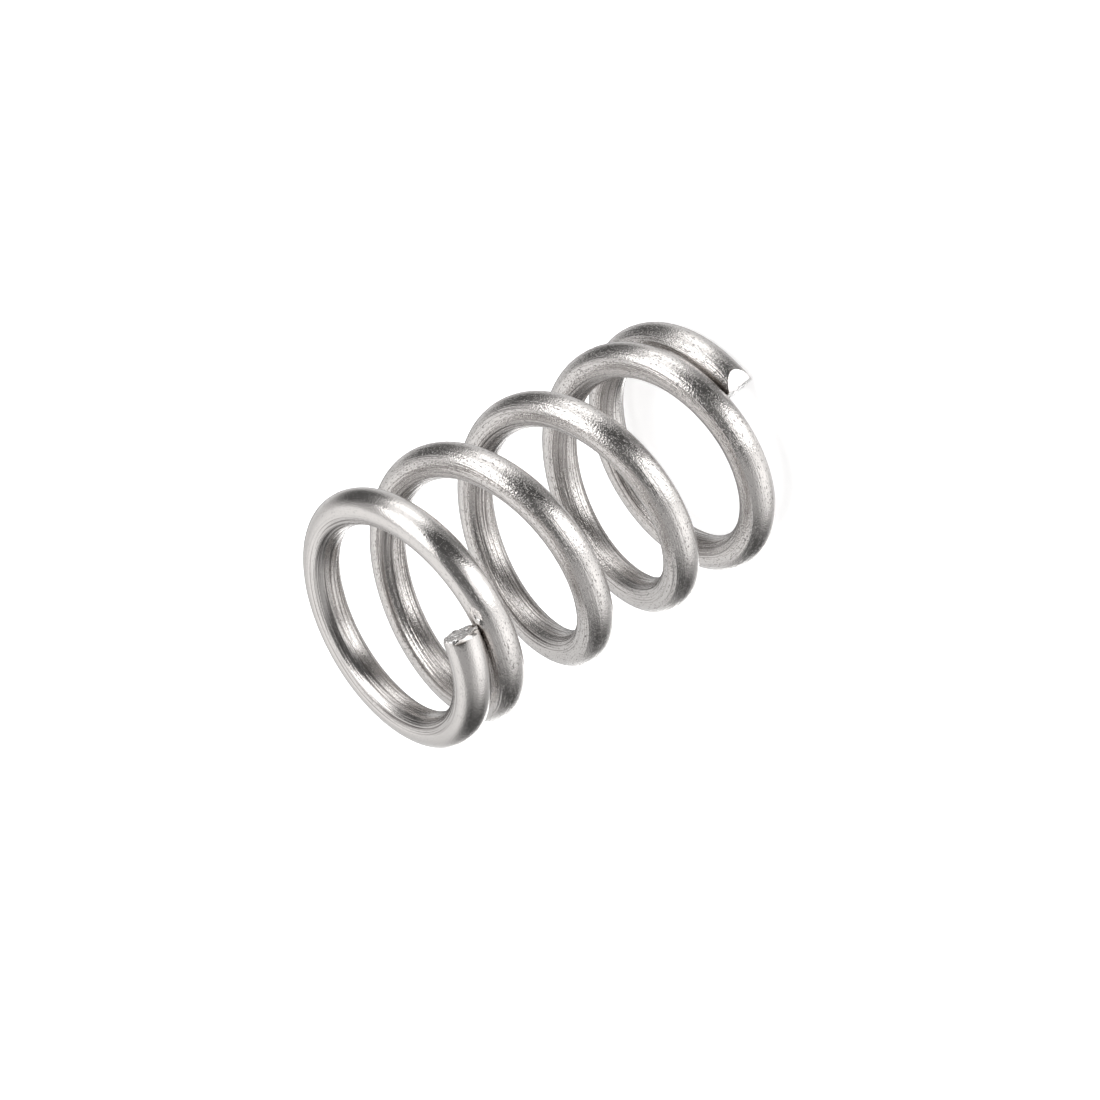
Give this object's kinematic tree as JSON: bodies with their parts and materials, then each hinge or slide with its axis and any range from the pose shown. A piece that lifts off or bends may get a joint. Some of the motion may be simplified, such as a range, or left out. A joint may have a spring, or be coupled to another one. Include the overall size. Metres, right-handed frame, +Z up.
{
  "type": "compression spring",
  "caption": "Small cylindrical compression spring of round wire, right-hand coiled, with closed, unground ends and sheared wire tips.",
  "frame": {"origin": "on the coil axis, at the seat plane under the lower end", "axes": "+Z up the coil axis, +X from the axis towards the lower wire tip"},
  "size_m": [0.012, 0.012, 0.02],
  "materials": {
    "spring_wire": "satin, with fine drawing lines along the wire"
  },
  "bodies": {
    "root": {"coil_spring": "spring_wire"}
  },
  "joints": []
}
